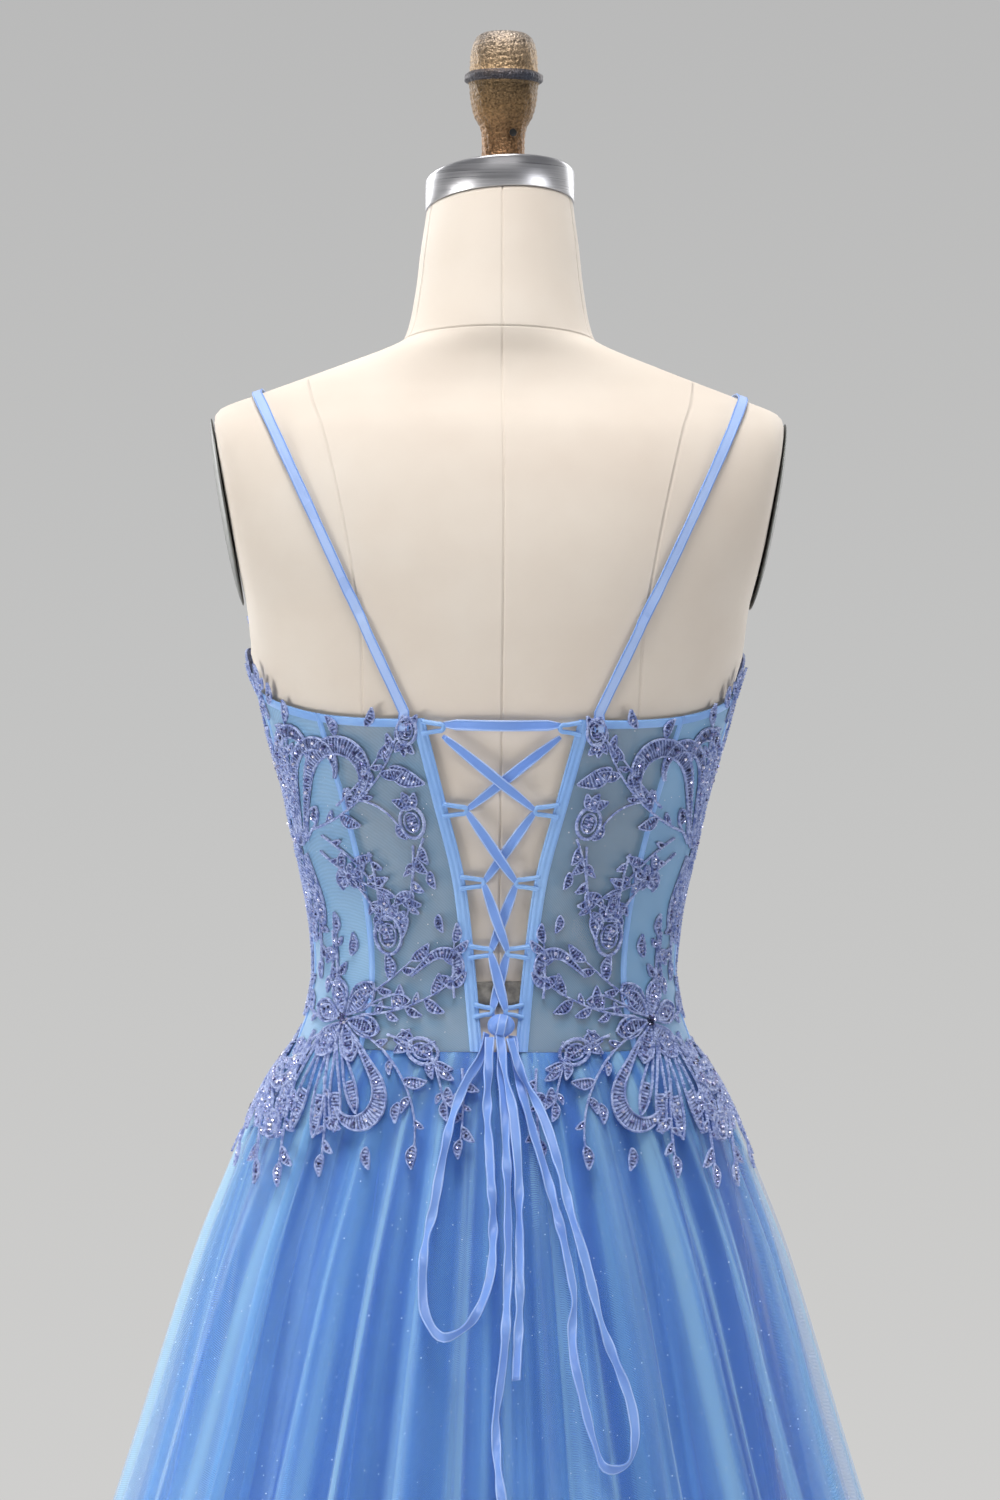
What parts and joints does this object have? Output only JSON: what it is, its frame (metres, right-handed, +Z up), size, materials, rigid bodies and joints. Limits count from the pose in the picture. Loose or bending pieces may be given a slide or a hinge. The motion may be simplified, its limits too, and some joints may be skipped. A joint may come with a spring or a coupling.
{
  "type": "prom dress on a dress form",
  "caption": "Strapless-line ball gown with thin straps, sheer lace bodice laced at the back, bow and full gathered skirt, worn by a limbless dress form on a round stand.",
  "frame": {"origin": "middle of the stand's base, on the floor", "axes": "+Z up along the stand's pole, +Y to the dress's front; the laced back faces -Y"},
  "size_m": [0.9588, 0.9517, 1.6975],
  "materials": {
    "linen": "matte cream cover",
    "aluminium": "brushed",
    "antique_gold": "hammered and aged",
    "dark_steel": "satin dark grey",
    "blue_net": "sheer net",
    "blue_satin": "satin",
    "blue_tulle": "glitter tulle",
    "lace_thread": "corded lace with beads"
  },
  "bodies": {
    "root": {"stand_base": "dark_steel", "stand_pole": "dark_steel", "form_arm_plate_left": "dark_steel", "form_arm_plate_right": "dark_steel", "form_torso": "linen", "form_neck_cap": "aluminium", "form_finial": "antique_gold", "bodice_front": "blue_net", "bodice_side_front_left": "blue_net", "bodice_side_front_right": "blue_net", "bodice_side_back_left": "blue_net", "bodice_side_back_right": "blue_net", "bodice_back_left": "blue_net", "bodice_back_right": "blue_net", "placket_left": "blue_satin", "placket_right": "blue_satin", "boning_back_left": "blue_satin", "boning_back_right": "blue_satin", "boning_side_left": "blue_satin", "boning_side_right": "blue_satin", "boning_front_left": "blue_satin", "boning_front_right": "blue_satin", "strap_left": "blue_satin", "strap_right": "blue_satin", "lacing_loops_left": "blue_satin", "lacing_loops_right": "blue_satin", "lacing_bar": "blue_satin", "lacing_ribbon_a": "blue_satin", "lacing_ribbon_b": "blue_satin", "bow_knot": "blue_satin", "bow_loop_left": "blue_satin", "bow_loop_right": "blue_satin", "tail_long": "blue_satin", "tail_short": "blue_satin", "skirt_lining_1": "blue_satin", "skirt_lining_2": "blue_satin", "skirt_lining_3": "blue_satin", "skirt_lining_4": "blue_satin", "skirt_tulle_1": "blue_tulle", "skirt_tulle_2": "blue_tulle", "skirt_tulle_3": "blue_tulle", "skirt_tulle_4": "blue_tulle", "skirt_tulle_5": "blue_tulle", "skirt_tulle_6": "blue_tulle", "applique_back_left": "lace_thread", "applique_back_right": "lace_thread", "applique_hip_left": "lace_thread", "applique_hip_right": "lace_thread", "applique_side_left": "lace_thread", "applique_side_right": "lace_thread", "applique_front_left": "lace_thread", "applique_front_right": "lace_thread", "applique_front_hip_left": "lace_thread", "applique_front_hip_right": "lace_thread"}
  },
  "joints": []
}
